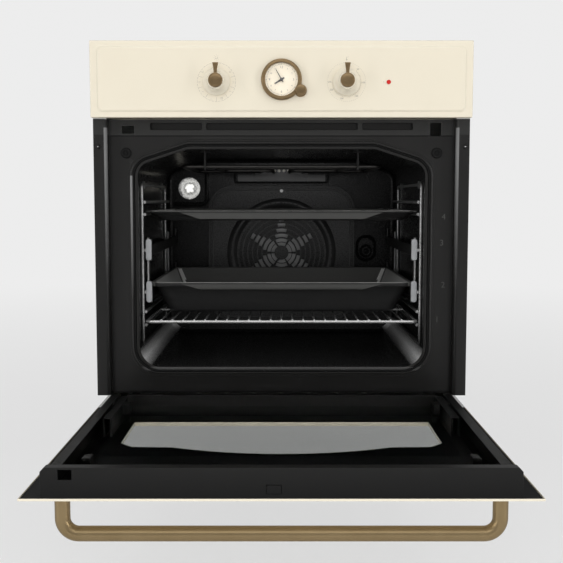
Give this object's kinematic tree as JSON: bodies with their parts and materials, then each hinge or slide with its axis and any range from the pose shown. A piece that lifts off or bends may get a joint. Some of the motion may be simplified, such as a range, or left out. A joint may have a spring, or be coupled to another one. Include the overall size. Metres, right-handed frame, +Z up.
{
  "type": "built-in oven",
  "caption": "Built-in electric oven with a drop-down glazed door, turned control knobs, an analogue clock, telescopic runners, trays and a wire shelf, shown with the door open.",
  "frame": {"origin": "middle of the casing's underside, where it stands on the niche's shelf", "axes": "+X to the right seen from the front, +Y into the niche, +Z up; the door opens towards -Y"},
  "size_m": [0.595, 1.0086, 0.642],
  "materials": {
    "ivory_enamel": "glossy enamel",
    "ivory_plastic": "glossy",
    "aged_brass": "satin, browned",
    "black_enamel": "glossy enamel",
    "oven_enamel": "vitreous enamel",
    "tray_enamel": "vitreous enamel",
    "zinc_steel": "galvanised",
    "screw_steel": "zinc plated",
    "chromed_wire": "polished",
    "runner_steel": "oxidised",
    "rod_steel": "oxidised",
    "clear_glass": "clear",
    "window_glass": "tinted",
    "black_glass": "black, glossy",
    "steatite": "matt",
    "mineral_wool": "fibrous",
    "gasket_rubber": "matt",
    "white_plastic": "matt",
    "dark_plastic": "matt",
    "cream_paint": "satin",
    "hand_paint": "satin",
    "red_plastic": "translucent",
    "motor_paint": "satin",
    "wheel_alloy": "satin"
  },
  "bodies": {
    "oven": {"base_plate": "zinc_steel", "case_cover": "zinc_steel", "rear_panel": "zinc_steel", "case_screws": "screw_steel", "front_frame": "black_enamel", "cavity": "oven_enamel", "insulation": "mineral_wool", "door_gasket": "gasket_rubber", "door_buffers": "gasket_rubber", "control_panel": "ivory_enamel", "panel_carrier": "zinc_steel", "function_switch": "white_plastic", "thermostat": "white_plastic", "clock_bezel": "aged_brass", "clock_dial": "cream_paint", "clock_glass": "clear_glass", "clock_movement": "dark_plastic", "pilot_lamp": "red_plastic", "lamp_lens": "clear_glass", "lamp_socket": "steatite", "grill_element": "rod_steel", "element_brackets": "rod_steel", "bottom_element": "rod_steel", "ring_element": "rod_steel", "fan_cover": "oven_enamel", "fan_motor": "motor_paint", "cooling_duct": "black_enamel", "blower_housing": "zinc_steel", "blower_motor": "motor_paint", "terminal_box": "white_plastic", "side_rack_left": "chromed_wire", "side_rack_right": "chromed_wire", "runner_rails": "zinc_steel", "hinge_brackets": "zinc_steel"},
    "door": {"door_panel": "ivory_enamel", "door_frame": "black_enamel", "door_window": "window_glass", "door_middle_glass": "clear_glass", "door_inner_glass": "black_glass", "door_hinge_arms": "zinc_steel", "door_handle": "aged_brass", "handle_screws": "screw_steel"},
    "function_selector": {"function_spindle": "screw_steel", "function_knob": "ivory_plastic", "function_cap": "aged_brass"},
    "thermostat_dial": {"thermostat_spindle": "screw_steel", "thermostat_knob": "ivory_plastic", "thermostat_cap": "aged_brass"},
    "clock_setter": {"clock_crown": "aged_brass"},
    "minute": {"minute_hand": "hand_paint"},
    "hour": {"hour_hand": "hand_paint"},
    "fan": {"fan_wheel": "wheel_alloy", "fan_shaft": "screw_steel"},
    "blower": {"blower_wheel": "wheel_alloy"},
    "top_tray": {"shallow_tray": "tray_enamel"},
    "shelf": {"wire_shelf": "chromed_wire"},
    "upper_left_slider": {"upper_runner_left": "runner_steel"},
    "upper_right_slider": {"upper_runner_right": "runner_steel"},
    "lower_carriage": {"lower_runners": "runner_steel", "deep_tray": "tray_enamel"}
  },
  "joints": [
    {"name": "door_hinge", "type": "hinge", "parent": "oven", "child": "door", "pos_m": [0, -0.283, 0.022], "axis": [1, 0, 0], "range_deg": [-90, 0]},
    {"name": "function_knob_turn", "type": "hinge", "parent": "oven", "child": "function_selector", "pos_m": [-0.1007, -0.293, 0.531], "axis": [0, 1, 0], "range_deg": [0, 324]},
    {"name": "thermostat_knob_turn", "type": "hinge", "parent": "oven", "child": "thermostat_dial", "pos_m": [0.1007, -0.293, 0.531], "axis": [0, 1, 0], "range_deg": [0, 275]},
    {"name": "clock_crown_turn", "type": "hinge", "parent": "oven", "child": "clock_setter", "pos_m": [0.0295, -0.293, 0.5177], "axis": [0, 1, 0], "continuous": true},
    {"name": "minute_hand_turn", "type": "hinge", "parent": "oven", "child": "minute", "pos_m": [0, -0.293, 0.5345], "axis": [0, 1, 0], "continuous": true},
    {"name": "hour_hand_turn", "type": "hinge", "parent": "oven", "child": "hour", "pos_m": [0, -0.293, 0.5345], "axis": [0, 1, 0], "continuous": true},
    {"name": "fan_spin", "type": "hinge", "parent": "oven", "child": "fan", "pos_m": [0, 0.15, 0.242], "axis": [0, 1, 0], "continuous": true},
    {"name": "blower_spin", "type": "hinge", "parent": "oven", "child": "blower", "pos_m": [0, 0.143, 0.4983], "axis": [1, 0, 0], "continuous": true},
    {"name": "shallow_tray_slide", "type": "slide", "parent": "oven", "child": "top_tray", "axis": [0, -1, 0], "range_m": [0, 0.22]},
    {"name": "wire_shelf_slide", "type": "slide", "parent": "oven", "child": "shelf", "axis": [0, -1, 0], "range_m": [0, 0.22]},
    {"name": "upper_left_runner_slide", "type": "slide", "parent": "oven", "child": "upper_left_slider", "axis": [0, -1, 0], "range_m": [0, 0.25]},
    {"name": "upper_right_runner_slide", "type": "slide", "parent": "oven", "child": "upper_right_slider", "axis": [0, -1, 0], "range_m": [0, 0.25]},
    {"name": "lower_carriage_slide", "type": "slide", "parent": "oven", "child": "lower_carriage", "axis": [0, -1, 0], "range_m": [0, 0.25]}
  ],
  "couplings": [
    {"joint": "minute_hand_turn", "follows": "clock_crown_turn", "ratio": 1},
    {"joint": "hour_hand_turn", "follows": "clock_crown_turn", "ratio": 0.083333}
  ]
}
